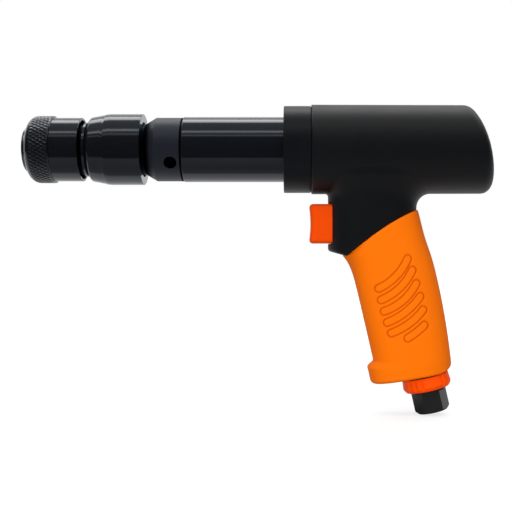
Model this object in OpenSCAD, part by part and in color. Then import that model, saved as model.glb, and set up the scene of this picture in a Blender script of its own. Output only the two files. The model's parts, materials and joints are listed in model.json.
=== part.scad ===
// Pneumatic air hammer with a quick-change chuck and a pistol grip.
// Millimetres. The barrel lies along X, nose at X = 0, +Z up, the handle below.

/* [Chuck] */
// Bore that guides the chisel shank
shank_bore_d = 10.3; // [9:0.1:12]
// Length of the shank bore
shank_bore_len = 34; // [26:1:38]
// Mouth that takes the chisel collar
mouth_d = 20.6; // [18:0.2:23]
// Wall of the chuck tube round the mouth
chuck_wall = 3.6; // [3:0.1:4.4]
// Locking ball diameter
ball_d = 7; // [6:0.25:8]
// How far a locked ball stands into the mouth
ball_lock_depth = 2; // [1.4:0.1:2.4]
// Backward travel of the release sleeve
sleeve_travel = 4.5; // [3.5:0.25:6]
// Wall of the release sleeve's smooth skirt
sleeve_wall = 1.5; // [1.2:0.1:3]
// Wall of the release sleeve's knurled band over the ball relief
band_wall = 3.2; // [2.2:0.1:4]
// Length of the knurled band, rounded shoulder included
band_len = 16; // [13:0.5:20]
// Height of the spring flange above the chuck tube
flange_step = 3.1; // [2.8:0.1:4.5]
// Working length of the release spring at rest
sleeve_spring_len = 10.5; // [9.5:0.5:14]
// Wire of the release spring
sleeve_wire = 1.5; // [1:0.1:1.7]
// Length of the rear chuck collar
collar_len = 32.8; // [24:0.2:40]
// Wall of the rear chuck collar
collar_wall = 5.1; // [4:0.1:6]

/* [Barrel] */
// Piston bore
bore_d = 19; // [16:0.5:21]
// Piston length
piston_len = 45; // [30:1:60]
// Outer diameter of the cylinder tube
tube_d = 31.2; // [29:0.2:33]
// Diameter of the threaded spigot that carries the chuck
spigot_d = 26; // [25:0.2:28]
// Wall of the chuck body round the spigot
chuck_rear_wall = 4.1; // [3.2:0.1:5]
// Height of the cylinder boss above the tube
boss_step = 4.3; // [3:0.1:6]
// Length of the cylinder boss
boss_len = 22.7; // [16:0.1:28]
// Bare neck between the rear collar and the boss
neck_gap = 2; // [1.4:0.2:8]
// Spanner hole in the boss
spanner_hole_d = 8; // [5:0.5:9]
// Depth of a spanner hole
spanner_hole_depth = 6; // [3:0.5:7]
// Exhaust gap between the cylinder tube and its jacket
jacket_gap = 2.6; // [1.6:0.1:3.6]
// Wall of the exhaust jacket
jacket_wall = 2.2; // [1.2:0.1:3]
// Length of jacket that shows
jacket_show = 62.6; // [40:0.2:90]
// Height of the front cap's rim above the spigot that enters the body
cap_step = 4.1; // [2.5:0.1:5]
// Length of front cap that shows
cap_len = 16.8; // [12:0.2:24]
// How far the cylinder tube reaches into the body
tube_reach = 35; // [30:0.5:40]

/* [Housing] */
// Outer diameter of the body
body_d = 56; // [53:0.2:62]
// Length of the body
body_len = 112.8; // [105:0.2:140]
// Radius of the domed rear end
dome_r = 86; // [60:1:120]
// Height of the dome's centre above the barrel axis
dome_z = -20; // [-24:0.5:-8]
// Fillet round the domed end
dome_fillet = 6.2; // [3:0.1:9]
// Distance from the body's front face to the handle's front face
handle_set = 10.5; // [9:0.1:14]
// Depth of the upper handle, front to rear
handle_depth = 55.6; // [53:0.2:62]
// Width of the upper handle
handle_w = 37.6; // [36.4:0.2:44]
// Rear fillet between handle and body
neck_fillet = 9; // [5:0.5:12]
// Height of the chin under the trigger, below the barrel axis
chin_z = 63.7; // [62.5:0.5:72]

/* [Grip] */
// Height of the handle's foot below the barrel axis, at the toe
foot_z = 146.8; // [140:0.5:165]
// Lean of the grip and of the air inlet from the vertical
lean = 13; // [10:0.5:16]
// Width of the grip at its middle
grip_w = 36.4; // [35.6:0.2:42]
// Wall of the grip moulding
grip_wall = 2.8; // [2:0.1:3.2]
// Toe that stands out in front of the foot
toe = 4.7; // [0:0.2:6]

/* [Trigger] */
// Width of the trigger
trigger_w = 17; // [14:0.5:17.5]
// Height of the trigger
trigger_h = 24.6; // [20:0.2:25]
// How far the trigger stands out of the handle
trigger_out = 12.1; // [9:0.1:15]
// Depth of the finger hollow in the trigger
trigger_hollow = 1.1; // [0.5:0.1:2]
// Trigger travel
trigger_travel = 6; // [4:0.5:7]
// Height of the throttle axis below the barrel axis
throttle_z = 46.8; // [46:0.2:48]
// Trigger stem diameter
stem_d = 5; // [4:0.5:6]
// Throttle bore diameter
throttle_bore_d = 15; // [14:0.5:15.5]
// Working length of the throttle spring at rest
throttle_spring_len = 13; // [12:0.5:14]
// Wire of the throttle spring
throttle_wire = 0.9; // [0.6:0.1:1]

/* [Air inlet] */
// Hexagon of the inlet bushing, across flats
inlet_af = 19; // [17:0.5:22]
// Length of the inlet hexagon
inlet_hex_len = 13; // [9:0.5:16]
// Bore of the inlet thread
inlet_thread_d = 11.1; // [9:0.1:12]
// Depth of the inlet thread
inlet_thread_len = 13; // [10:0.5:15]
// Outer diameter of the exhaust deflector
deflector_d = 30.4; // [29:0.2:34]
// Height of the exhaust deflector
deflector_h = 8.6; // [7:0.2:11]

/* [Hidden] */

$fn = 96;
eps = 0.01;

// Clearances
running = 0.05;
seated = 0.02;
air = 0.3;

// Chuck, radii
mouth_r = mouth_d / 2;
nose_r = mouth_r + chuck_wall;
ball_r = ball_d / 2;
ball_lock_r = mouth_r - ball_lock_depth + ball_r;
ball_free_r = mouth_r + running + ball_r;
ball_lift = ball_free_r - ball_lock_r;
ramp = ball_lift / sleeve_travel;
ball_gap = 0.15;
ramp_r = ball_lock_r + (ball_r + ball_gap) * sqrt(1 + ramp * ramp);
relief_r = ball_free_r + ball_r + 0.5;
guide_r = nose_r + running;
flange_r = nose_r + flange_step;
skirt_gap = 1.4;
skirt_r = flange_r + skirt_gap;
sleeve_coil_r = nose_r + air + sleeve_wire / 2;
spring_seat_r = sleeve_coil_r + sleeve_wire / 2 + 0.1;
sleeve_r = skirt_r + sleeve_wall;
band_r = relief_r + band_wall;
ring_wire = 0.7;
ring_depth = 0.9;

// Chuck, stations along the barrel
nose_lip = 1.4;
nose_gap = 0.2;
front_land_len = 4.7;
ball_margin = 0.5;
rear_land_len = 3;
skirt_cover = 2.6;
collar_gap = 1;
seat_depth = 3;
sleeve_x0 = nose_lip + ring_wire + nose_gap;
front_land_x = sleeve_x0 + front_land_len;
ball_x = front_land_x + sleeve_travel + ball_r + ball_margin;
ramp_x0 = ball_x - (relief_r - ramp_r) / ramp;
ramp_x1 = ball_x + (ramp_r - guide_r) / ramp;
rear_land_x = ramp_x1 + rear_land_len;
flange_x0 = rear_land_x + sleeve_spring_len;
sleeve_x1 = flange_x0 + skirt_cover;
o_ring_wire = 1.6;
collar_x0 = sleeve_x1 + sleeve_travel + collar_gap;
flange_x1 = collar_x0 - o_ring_wire - 0.1;
disc_w = 2.2;
disc_x0 = flange_x1 - disc_w;
seat_x = flange_x0 + seat_depth;
collar_x1 = collar_x0 + collar_len;
band_x1 = sleeve_x0 + band_len;

// Barrel, radii
bore_r = bore_d / 2;
tube_r = tube_d / 2;
spigot_r = spigot_d / 2;
chuck_rear_r = spigot_r + chuck_rear_wall;
neck_step = 1.2;
neck_r = chuck_rear_r - neck_step;
collar_bore_r = chuck_rear_r + seated;
collar_r = collar_bore_r + collar_wall;
boss_r = tube_r + boss_step;
jacket_r0 = tube_r + jacket_gap;
jacket_r1 = jacket_r0 + jacket_wall;
cap_bore_r = jacket_r1 + seated;
cap_spigot_wall = 2.7;
cap_spigot_r = cap_bore_r + cap_spigot_wall;
cap_r = cap_spigot_r + cap_step;
piston_r = bore_r - running;

// Barrel, stations
jacket_seat_len = 10;
cap_spigot_len = 9;
chamber_len = 17;
neck_relief = 2.5;
boss_x0 = collar_x1 + neck_gap;
boss_x1 = boss_x0 + boss_len;
seal_w = 0.6;
jacket_x0 = boss_x1 + seal_w;
cap_x0 = jacket_x0 + jacket_show;
jacket_x1 = cap_x0 + jacket_seat_len;
cap_x1 = cap_x0 + cap_len;
cap_seal_w = 0.4;
body_x0 = cap_x1 + cap_seal_w;
cap_spigot_x1 = body_x0 + cap_spigot_len;
chamber_x1 = body_x0 + chamber_len;
tube_x1 = body_x0 + tube_reach;
bore_x0 = seat_x + shank_bore_len;
piston_rear_gap = 1;
piston_x0 = tube_x1 - piston_rear_gap - piston_len;
spanner_set = 16.4;
spanner_x = boss_x0 + spanner_set;
spanner_dip = 30;
exhaust_port_set = 34;
exhaust_port_x = jacket_x0 + exhaust_port_set;
exhaust_port_d = 5;

// Valve pack behind the cylinder
valve_r = tube_r - 0.2;
valve_seat_len = 4;
valve_disc_len = 1.6;
valve_lift = 2;
valve_cap_len = 10;
valve_rim = 3.2;
valve_pocket_r = valve_r - valve_rim;
valve_gap = 0.2;
valve_seat_bore_r = 4;
valve_cap_bore_r = 4.5;
valve_disc_bore_r = 5;
valve_port_r = 1.1;
valve_ports = 6;
valve_cap_x0 = tube_x1 + valve_seat_len;
valve_cap_x1 = valve_cap_x0 + valve_cap_len;
cushion_len = 6;
chest_x1 = valve_cap_x1 + cushion_len;
dowel_r = 1.25;
dowel_ring_r = valve_r - valve_rim / 2;
dowel_set = 6;
dowel_end = 3;
dowel_gap = 0.2;
feed_pocket_r = 11;
feed_pocket_len = 4;
feed_pocket_x1 = chest_x1 + feed_pocket_len;

// Housing body
body_r = body_d / 2;
body_x1 = body_x0 + body_len;
body_draft = 0.3;
tube_seat_r = tube_r + running;

// Handle
handle_x0 = body_x0 + handle_set;
handle_x1 = handle_x0 + handle_depth;
handle_round = 2.3;
grip_round = 2.4;
chin_len = 10.9;
chin_drop = 3;
split_x0 = handle_x0 + chin_len;
split_z0 = -chin_z - chin_drop;
split_rise = chin_z + chin_drop - 38;
split_crown = 10.9;
neck_z = -body_r - neck_fillet;
front_fillet = 1.6;
grip_z0 = split_z0 - 0.3;
grip_x0 = split_x0 + 2.5;
foot_slope = 0.165;
heel_len = 8.9;
heel_h = 4.5;
seam = 0.1;
grip_flare = 4;
grip_flare_len = 5.4;
toe_start = 14.8;
toe_blend = 5;
columns = 48;
core_z0 = -41;
core_z1 = -foot_z - 6;
core_steps = 8;
core_lift = 1.4;

// Inlet axis: local -Z runs down and out of the handle
inlet_set = 5.3;
inlet_x = handle_x1 + inlet_set;
inlet_z = foot_height(inlet_x) - 0.4;
bushing_neck_r = 9.75;
bushing_flange_r = 11.2;
screen_r = 6.2;
bushing_thread_r = 8.5;
bushing_thread_len = 14;
deflector_r = deflector_d / 2;
deflector_z0 = -0.4;
deflector_z1 = deflector_z0 - deflector_h;
flange_z = deflector_z1 - air;
flange_len = 1;
hex_z1 = flange_z - flange_len - inlet_hex_len;
felt_r = 12.5;
felt_h = 4;
web_h = 2.5;

// Trigger and throttle
trigger_x0 = handle_x0 - trigger_out;
trigger_root = 5.8;
trigger_x1 = handle_x0 + trigger_root;
trigger_corner = 2;
pocket_gap = 0.8;
pocket_x1 = trigger_x1 + trigger_travel + pocket_gap;
stem_r = stem_d / 2;
stem_root = 9;
throttle_r = throttle_bore_d / 2;
pocket_wall = 5;
bushing_x0 = pocket_x1 + pocket_wall;
bushing_len = 16;
bushing_x1 = bushing_x0 + bushing_len;
valve_head_len = 3;
valve_head_gap = 0.2;
valve_head_x1 = bushing_x1 + valve_head_gap + valve_head_len;
throttle_x1 = valve_head_x1 + throttle_spring_len;
gallery_set = 9.5;
gallery_x = bushing_x0 + gallery_set;

function deg_arc(r, x, rad, a0, a1, n = 6) =
    [for (i = [0:n]) let (a = a0 + (a1 - a0) * i / n) [r + rad * cos(a), x + rad * sin(a)]];

// Revolves a closed [radius, station] outline about the barrel axis.
module turned(outline) {
    rotate([0, 90, 0]) rotate_extrude() polygon(outline);
}

// Straight round hole or pin along the barrel axis.
module along_x(r, x0, x1) {
    translate([x0, 0, 0]) rotate([0, 90, 0]) cylinder(r = r, h = x1 - x0);
}

// Flat side profile, drawn in X and Z, made w wide about the middle plane.
module side_plate(w) {
    translate([0, w / 2, 0]) rotate([90, 0, 0]) linear_extrude(w) children();
}

module on_throttle() {
    translate([0, 0, -throttle_z]) children();
}

module on_inlet() {
    translate([inlet_x, 0, inlet_z]) rotate([0, -lean, 0]) children();
}

module ring_on_inlet(r0, r1, z0, z1) {
    on_inlet() rotate_extrude() polygon([[r0, z0], [r1, z0], [r1, z1], [r0, z1]]);
}

// Skin over rings of equal length that are symmetric about the middle plane, closed at both ends.
module skin(rings) {
    n = len(rings[0]);
    last = (len(rings) - 1) * n;
    walls = [for (k = [0:len(rings) - 2], i = [0:n - 1], half = [0, 1])
        let (a = k * n + i, b = k * n + (i + 1) % n)
        half == 0 ? [a, b, b + n] : [a, b + n, a + n]];
    start_cap = strip_cap(0, n);
    end_cap = [for (f = strip_cap(last, n)) [f[2], f[1], f[0]]];
    polyhedron([for (ring = rings, p = ring) p], concat(walls, start_cap, end_cap));
}

function strip_cap(base, n) = [for (i = [0:n / 2 - 1], half = [0, 1])
    let (a = base + i, b = base + i + 1, c = base + n - i - 1, d = base + (n - i) % n)
    if (half == 0 ? b != c : d != a)
    half == 0 ? [c, b, a] : [d, c, a]];

// Coil spring along +X as one unbroken tube.
module coil(r, wire, turns, length) {
    per_turn = 16;
    sides = 6;
    n = turns * per_turn;
    run = length - wire;
    points = [for (k = [0:n], s = [0:sides - 1])
        let (a = 360 * k / per_turn, b = 360 * s / sides, rr = r + wire / 2 * cos(b))
        [wire / 2 + run * k / n + wire / 2 * sin(b), rr * cos(a), rr * sin(a)]];
    walls = [for (k = [0:n - 1], s = [0:sides - 1], half = [0, 1])
        let (a = k * sides + s, b = k * sides + (s + 1) % sides)
        half == 0 ? [b + sides, b, a] : [a + sides, b + sides, a]];
    start = [for (s = [1:sides - 2]) [0, s, s + 1]];
    end = [for (s = [1:sides - 2]) [n * sides + s + 1, n * sides + s, n * sides]];
    polyhedron(points, concat(walls, start, end));
}

// Body of the housing
function dome_end(r, a) =
    let (y = r * sin(a), z = r * cos(a) - dome_z)
    body_x1 - dome_r + sqrt(dome_r * dome_r - z * z - y * y / 2);

function body_column(a) =
    let (r0 = body_r - body_draft,
        rf = r0 - dome_fillet,
        fall = dome_end(rf - 0.5, a) - dome_end(rf + 0.5, a),
        tip = atan(fall),
        xc = dome_end(rf, a) - dome_fillet / cos(tip),
        r1 = rf + dome_fillet * sin(tip),
        arc_steps = 5,
        end_steps = 5)
    concat(
        [[body_r - 1, body_x0], [body_r, body_x0 + 1]],
        [for (i = [0:arc_steps]) let (f = (90 - tip) * i / arc_steps)
            [rf + dome_fillet * cos(f), xc + dome_fillet * sin(f)]],
        [for (j = [1:end_steps - 1]) let (r = r1 * (1 - j / end_steps)) [r, dome_end(r, a)]]);

function body_rings() =
    let (cols = [for (i = [0:columns - 1]) body_column(360 * i / columns)])
    [for (k = [0:len(cols[0]) - 1]) [for (i = [0:columns - 1])
        let (a = 360 * i / columns, p = cols[i][k]) [p[1], p[0] * sin(a), p[0] * cos(a)]]];

// Handle outlines in the middle plane
function split_height(x) =
    let (u = (x - split_x0) / (handle_x1 - split_x0))
    x < split_x0
        ? split_z0 + chin_drop * (split_x0 - x) / chin_len
        : split_z0 + (split_rise + split_crown) * u - split_crown * u * u;

function foot_height(x) =
    let (toe_x = grip_x0 + tan(lean) * (foot_z + grip_z0) - toe,
        heel = max(0, min(0.98, (x - handle_x1 - 12.9) / heel_len)))
    -foot_z + foot_slope * (x - toe_x) + heel_h * (1 - sqrt(1 - heel * heel));

function blend(t) = let (u = max(0, min(1, t))) u * u * (3 - 2 * u);

function grip_front(z) =
    let (d = grip_z0 - z)
    grip_x0 + tan(lean) * d - grip_flare * exp(-max(d, 0) / grip_flare_len)
        - toe * blend((d - (foot_z + grip_z0 - toe_start)) / toe_blend);

function grip_rear(z) =
    let (s = (-38.9 - z) / (foot_z - 46.8), dip = (s - 0.15) / 0.12)
    handle_x1 + 1.2 + 33 * s - 12 * s * s - exp(-dip * dip);

function grip_half(z) = grip_w / 2 + 0.8 * pow((z + 95) / 50, 2);

function round_point(xf, xr, half, round, t) =
    let (c = cos(t), s = sin(t))
    [(xf + xr) / 2 + (xr - xf) / 2 * sign(c) * pow(abs(c), 2 / round),
        half * sign(s) * pow(abs(s), 2 / round)];

function grip_point(z, t) =
    let (p = round_point(grip_front(z), grip_rear(z), grip_half(z), grip_round, t))
    [p[0], p[1], z];

function settle_split(z, t, n = 6) =
    n == 0 ? z : settle_split(min(split_height(grip_point(z, t)[0]), neck_z), t, n - 1);

function settle_foot(z, t, n = 6) =
    n == 0 ? z : settle_foot(foot_height(grip_point(z, t)[0]), t, n - 1);

// Rings of the grip's outside, from just under the split line down to the foot.
function grip_rings(steps) =
    let (ends = [for (i = [0:columns - 1]) let (t = 360 * i / columns)
        [settle_split(-60, t) - seam, settle_foot(-foot_z, t)]])
    [for (k = [0:steps]) [for (i = [0:columns - 1])
        let (e = ends[i]) grip_point(e[0] + (e[1] - e[0]) * k / steps, 360 * i / columns)]];

// Level rings of the handle core that the grip is moulded round, wall inside the grip's plain faces.
function core_rings(wall, steps) = [for (k = [0:steps])
    let (z = core_z0 + (core_z1 - core_z0) * k / steps,
        xf = grip_x0 + tan(lean) * (grip_z0 - z) + wall,
        xr = grip_rear(z) - wall)
    [for (i = [0:columns - 1])
        let (p = round_point(xf, xr, grip_half(z) - wall, grip_round, 360 * i / columns))
        [p[0], p[1], z]]];

function neck_front(z) =
    let (d = max(0, min(front_fillet, z + body_r + front_fillet)))
    handle_x0 - front_fillet + sqrt(front_fillet * front_fillet - d * d);

function neck_rear(z) =
    let (d = max(0, min(neck_fillet, z - neck_z)))
    handle_x1 + neck_fillet - sqrt(neck_fillet * neck_fillet - d * d);

function neck_half(z) = handle_w / 2 + 0.02 * pow(max(0, z + body_r), 2);

function neck_point(z, t) =
    let (p = round_point(neck_front(z), neck_rear(z), neck_half(z), handle_round, t))
    [p[0], p[1], z];

function settle_chin(z, t, n = 6) =
    n == 0 ? z : settle_chin(min(split_height(neck_point(z, t)[0]), neck_z), t, n - 1);

function neck_rings(top, steps) =
    let (ends = [for (i = [0:columns - 1]) settle_chin(-60, 360 * i / columns)])
    [for (k = [0:steps]) [for (i = [0:columns - 1])
        let (u = k / steps, mid = top + (neck_z - top) * u * 2)
        neck_point(u < 0.5 ? mid : neck_z + (ends[i] - neck_z) * (2 * u - 1), 360 * i / columns)]];

module chuck_body() {
    color("#2b2b2e") difference() {
        turned([
            [mouth_r + 0.8, 0], [nose_r - 0.6, 0], [nose_r, 0.6], [nose_r, nose_lip],
            [nose_r - ring_depth, nose_lip], [nose_r - ring_depth, nose_lip + ring_wire],
            [nose_r, nose_lip + ring_wire], [nose_r, flange_x0],
            [spring_seat_r - 0.4, flange_x0], [spring_seat_r, flange_x0 + 0.4],
            [spring_seat_r, disc_x0], [flange_r - 0.4, disc_x0], [flange_r, disc_x0 + 0.4],
            [flange_r, flange_x1 - 0.4], [flange_r - 0.4, flange_x1],
            [flange_r - o_ring_wire, flange_x1], [flange_r - o_ring_wire, collar_x0],
            [chuck_rear_r, collar_x0], [chuck_rear_r, collar_x1 - neck_relief],
            [neck_r, collar_x1 - neck_relief], [neck_r, boss_x0 - 0.5], [neck_r - 0.5, boss_x0],
            [spigot_r + seated, boss_x0], [spigot_r + seated, seat_x],
            [mouth_r, seat_x], [mouth_r, 0.8]
        ]);
        for (i = [0:3]) ball_seat(i) cylinder(r = ball_r + ball_gap, h = nose_r);
    }
}

// Local +Z points outward through ball i, from the barrel axis.
module ball_seat(i) {
    translate([ball_x, 0, 0]) rotate([45 + 90 * i, 0, 0]) translate([0, 0, mouth_r / 2]) children();
}

module lock_ball(i) {
    color("#c8ccd0") translate([ball_x, 0, 0]) rotate([45 + 90 * i, 0, 0])
        translate([0, 0, ball_lock_r]) sphere(r = ball_r);
}

module nose_snap_ring() {
    color("#9a9da2") difference() {
        turned([
            [nose_r - ring_depth + seated, nose_lip + seated], [nose_r + 0.8, nose_lip + seated],
            [nose_r + 0.8, nose_lip + ring_wire - seated],
            [nose_r - ring_depth + seated, nose_lip + ring_wire - seated]
        ]);
        translate([nose_lip - 1, -1.5, -nose_r - 5]) cube([ring_wire + 2, 3, 8]);
    }
}

module release_sleeve() {
    shoulder_r = nose_r + 0.7;
    shoulder_len = 6.9;
    rim = 0.6;
    color("#1a1a1c") turned(concat(
        [[guide_r, front_land_x], [guide_r, sleeve_x0]],
        [for (i = [0:8]) let (a = 90 * i / 8)
            [shoulder_r + (band_r - shoulder_r) * sin(a), sleeve_x0 + shoulder_len * (1 - cos(a))]],
        [[band_r, band_x1 - 0.5], [band_r - 0.5, band_x1], [sleeve_r, band_x1],
            [sleeve_r, sleeve_x1 - rim], [sleeve_r - rim, sleeve_x1], [skirt_r + rim / 2, sleeve_x1],
            [skirt_r, sleeve_x1 - rim / 2], [skirt_r, rear_land_x], [guide_r, rear_land_x],
            [guide_r, ramp_x1], [relief_r, ramp_x0], [relief_r, front_land_x]]));
}

module sleeve_spring() {
    gap = 0.2;
    color("#b9bcc0") translate([rear_land_x + gap, 0, 0])
        coil(sleeve_coil_r, sleeve_wire, 3, sleeve_spring_len - 2 * gap);
}

module chuck_o_ring() {
    color("#111113") turned(concat(
        [[flange_r - o_ring_wire + seated, flange_x1 + seated]],
        deg_arc(flange_r - 0.7, (flange_x1 + collar_x0) / 2, 0.7, -90, 90),
        [[flange_r - o_ring_wire + seated, collar_x0 - seated]]));
}

module rear_collar() {
    rim = 0.5;
    color("#161618") turned(concat(
        [[collar_bore_r, collar_x0], [collar_r - 2.8, collar_x0], [collar_r - 2.1, collar_x0 + 1],
            [collar_r - 0.8, collar_x0 + 8.4], [collar_r - 0.1, collar_x0 + 12.4]],
        [[collar_r, collar_x0 + 13.4], [collar_r, collar_x1 - rim], [collar_r - rim, collar_x1],
            [collar_bore_r, collar_x1]]));
}

module cylinder_barrel() {
    chamfer_len = 6.3;
    color("#35383f") difference() {
        turned([
            [shank_bore_d / 2, seat_x + 1], [shank_bore_d / 2 + 1, seat_x], [spigot_r - 0.6, seat_x],
            [spigot_r, seat_x + 0.6], [spigot_r, boss_x0], [neck_r + 0.2, boss_x0],
            [boss_r, boss_x0 + chamfer_len], [boss_r, boss_x1], [tube_r, boss_x1], [tube_r, tube_x1],
            [bore_r, tube_x1], [bore_r, bore_x0], [shank_bore_d / 2, bore_x0]
        ]);
        for (side = [0, 180]) rotate([side, 0, 0]) translate([spanner_x, 0, 0])
            rotate([90 + spanner_dip, 0, 0]) translate([0, 0, boss_r - spanner_hole_depth])
            cylinder(d = spanner_hole_d, h = boss_r);
        for (i = [0:3]) translate([exhaust_port_x, 0, 0]) rotate([90 * i, 0, 0])
            translate([0, 0, bore_r / 2]) cylinder(d = exhaust_port_d, h = tube_r);
        dowel_holes();
    }
}

module dowel_holes() {
    for (side = [-1, 1]) translate([0, side * dowel_ring_r, 0])
        along_x(dowel_r + seated, tube_x1 - dowel_set, valve_cap_x1 - dowel_end);
}

module valve_dowels() {
    color("#b9bcc0") for (side = [-1, 1]) translate([0, side * dowel_ring_r, 0])
        along_x(dowel_r, tube_x1 - dowel_set + dowel_gap, valve_cap_x1 - dowel_end - dowel_gap);
}

module piston() {
    nose = 1.5;
    groove = 0.6;
    groove_x0 = piston_x0 + piston_len * 0.45;
    groove_x1 = piston_x0 + piston_len * 0.55;
    end_x = piston_x0 + piston_len;
    color("#c3c7cb") turned([
        [0, piston_x0], [piston_r - nose, piston_x0], [piston_r, piston_x0 + nose],
        [piston_r, groove_x0], [piston_r - groove, groove_x0 + groove],
        [piston_r - groove, groove_x1], [piston_r, groove_x1 + groove],
        [piston_r, end_x - nose], [piston_r - nose, end_x], [0, end_x]
    ]);
}

module jacket_seal() {
    color("#0c0c0d") turned([
        [tube_r + seated, boss_x1], [boss_r - 0.5, boss_x1],
        [boss_r - 0.5, jacket_x0], [tube_r + seated, jacket_x0]
    ]);
}

module exhaust_jacket() {
    color("#0d0d0f") turned([
        [jacket_r0, jacket_x0], [jacket_r1 - 0.4, jacket_x0], [jacket_r1, jacket_x0 + 0.4],
        [jacket_r1, jacket_x1], [jacket_r0, jacket_x1]
    ]);
}

module front_cap() {
    edge = 0.8;
    inner_r = (tube_r + cap_bore_r) / 2 + 0.4;
    color("#26272a") turned(concat(
        [[cap_bore_r, cap_x0], [cap_r - edge, cap_x0]],
        deg_arc(cap_r - edge, cap_x0 + edge, edge, -90, 0),
        [[cap_r, cap_x1 - 0.3], [cap_r - 0.3, cap_x1],
            [cap_spigot_r, cap_x1], [cap_spigot_r, cap_spigot_x1], [inner_r, cap_spigot_x1],
            [inner_r, jacket_x1], [cap_bore_r, jacket_x1]]));
}

module cap_seal() {
    color("#0c0c0d") turned([
        [cap_spigot_r + seated, cap_x1], [cap_r - 0.6, cap_x1],
        [cap_r - 0.6, body_x0], [cap_spigot_r + seated, body_x0]
    ]);
}

module valve_seat() {
    port_ring_r = (valve_seat_bore_r + valve_pocket_r) / 2;
    color("#a8acb2") difference() {
        turned([
            [valve_seat_bore_r, tube_x1], [valve_r, tube_x1],
            [valve_r, valve_cap_x0], [valve_seat_bore_r, valve_cap_x0]
        ]);
        for (i = [0:valve_ports - 1]) rotate([30 + 360 * i / valve_ports, 0, 0])
            translate([0, 0, port_ring_r]) along_x(valve_port_r, tube_x1 - 1, valve_cap_x0 + 1);
        dowel_holes();
    }
}

module valve_disc() {
    x0 = valve_cap_x0 + valve_gap;
    color("#d2d5d8") turned([
        [valve_disc_bore_r, x0], [valve_pocket_r - air, x0],
        [valve_pocket_r - air, x0 + valve_disc_len], [valve_disc_bore_r, x0 + valve_disc_len]
    ]);
}

module valve_cap() {
    pocket_x = valve_cap_x0 + valve_disc_len + valve_lift + 2 * valve_gap;
    color("#9aa0a6") difference() {
        turned([
            [valve_pocket_r, valve_cap_x0], [valve_r, valve_cap_x0], [valve_r, valve_cap_x1],
            [valve_cap_bore_r, valve_cap_x1], [valve_cap_bore_r, pocket_x], [valve_pocket_r, pocket_x]
        ]);
        dowel_holes();
    }
}

module valve_cushion() {
    color("#1b1b1c") turned([
        [feed_pocket_r, valve_cap_x1], [valve_r, valve_cap_x1],
        [valve_r, chest_x1], [feed_pocket_r, chest_x1]
    ]);
}

module housing() {
    color("#1d1e20") difference() {
        union() {
            skin(body_rings());
            skin(neck_rings(-14, 10));
            difference() {
                skin(core_rings(grip_wall + seam, core_steps));
                core_foot_cut();
            }
        }
        along_x(cap_spigot_r + seated, body_x0 - 1, cap_spigot_x1 + 0.3);
        along_x(cap_spigot_r - 2, body_x0 - 1, chamber_x1);
        along_x(tube_seat_r, body_x0 - 1, chest_x1);
        along_x(feed_pocket_r, body_x0 - 1, feed_pocket_x1);
        trigger_pocket();
        on_throttle() along_x(throttle_r + 2 * seated, handle_x0, throttle_x1);
        feed_passage();
        exhaust_passages();
        on_inlet() inlet_bores();
    }
}

// Everything below a plane that lies just above the foot of the grip.
module core_foot_cut() {
    reach = 120;
    translate([inlet_x, -reach / 2, inlet_z + core_lift]) rotate([0, -atan(foot_slope), 0])
        translate([-reach / 2, 0, -reach]) cube(reach);
}

module trigger_pocket() {
    w = trigger_w + 2 * air;
    h = trigger_h + 2 * air;
    on_throttle() translate([handle_x0 - 5, -w / 2, -h / 2]) cube([pocket_x1 - handle_x0 + 5, w, h]);
}

// Live air from the throttle up to the pocket behind the valve pack.
module feed_passage() {
    drill(3, [gallery_x, 0, -throttle_z + throttle_r - 2], [chest_x1 + 1.5, 0, -feed_pocket_r + 3]);
}

// Spent air from the chamber behind the front cap, down both sides of the throttle.
module exhaust_passages() {
    for (side = [-1, 1]) drill(1.8, [body_x0 + 13, side * 11.2, -cap_spigot_r + 6],
        [inlet_x - 5, side * 9.6, inlet_z + 1]);
}

// Round hole of radius r between two points.
module drill(r, from, to) {
    d = to - from;
    translate(from) rotate([0, acos(d[2] / norm(d)), atan2(d[1], d[0])]) cylinder(r = r, h = norm(d));
}

module inlet_bores() {
    reach = (throttle_z + inlet_z) / cos(lean);
    translate([0, 0, -25]) cylinder(r = felt_r + 0.2, h = 25 + felt_h + 0.2);
    cylinder(r = bushing_thread_r + seated, h = felt_h + bushing_thread_len);
    cylinder(r = 5, h = -reach);
}

module grip_sleeve() {
    color("#ff7a05") difference() {
        skin(grip_rings(20));
        skin(core_rings(grip_wall, core_steps));
    }
}

module trigger() {
    hollow_r = (pow(trigger_h / 2, 2) + pow(trigger_hollow, 2)) / (2 * trigger_hollow);
    plan_corner = 4;
    color("#fb5400") on_throttle() difference() {
        intersection() {
            side_plate(trigger_w) difference() {
                rounded_front(trigger_x0, trigger_x1, trigger_h, trigger_corner);
                translate([trigger_x0 + trigger_hollow - hollow_r, 0]) circle(r = hollow_r, $fn = 240);
            }
            translate([0, 0, -trigger_h / 2 - 1]) linear_extrude(trigger_h + 2)
                rounded_front(trigger_x0, trigger_x1, trigger_w, plan_corner);
        }
        along_x(stem_r + seated, trigger_x1 - stem_root, trigger_x1 + 1);
    }
}

// Rectangle from x0 to x1, w across, with its two corners at x0 rounded.
module rounded_front(x0, x1, w, corner) {
    translate([x0 + corner, -w / 2]) square([x1 - x0 - corner, w]);
    translate([x0, -w / 2 + corner]) square([corner + eps, w - 2 * corner]);
    for (side = [-1, 1]) translate([x0 + corner, side * (w / 2 - corner)]) circle(r = corner);
}

module trigger_stem() {
    color("#b9bcc0") on_throttle()
        along_x(stem_r, trigger_x1 - stem_root + seated, bushing_x1 + valve_head_gap);
}

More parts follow.
